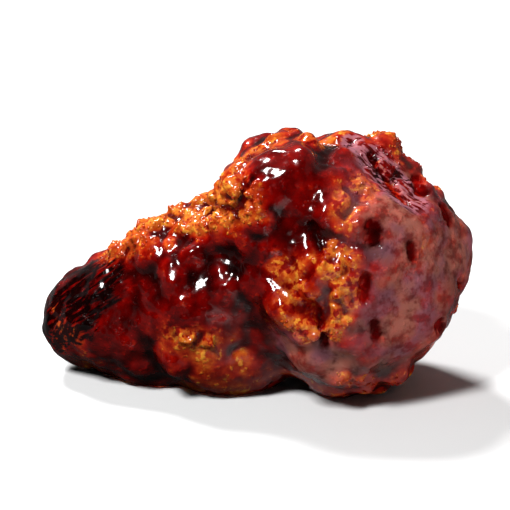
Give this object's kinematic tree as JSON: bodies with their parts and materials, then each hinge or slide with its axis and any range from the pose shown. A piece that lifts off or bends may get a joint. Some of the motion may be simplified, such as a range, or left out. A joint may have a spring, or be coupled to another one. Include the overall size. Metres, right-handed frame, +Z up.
{
  "type": "glazed chicken wing",
  "caption": "Fried chicken wing, drumette cut: a thick craggy head and a tapering shank under sticky dark red glaze, lying on its side.",
  "frame": {"origin": "on the surface that the wing lies on, under the middle of its outline", "axes": "+X from the shank to the thick head, +Z up as the wing lies, +Y to the back of the shown side"},
  "size_m": [0.0828, 0.0452, 0.0518],
  "materials": {
    "glazed_crust": "craggy fried breading, amber to orange, under a wet dark red glaze that pools in the hollows"
  },
  "bodies": {
    "root": {"wing": "glazed_crust"}
  },
  "joints": []
}
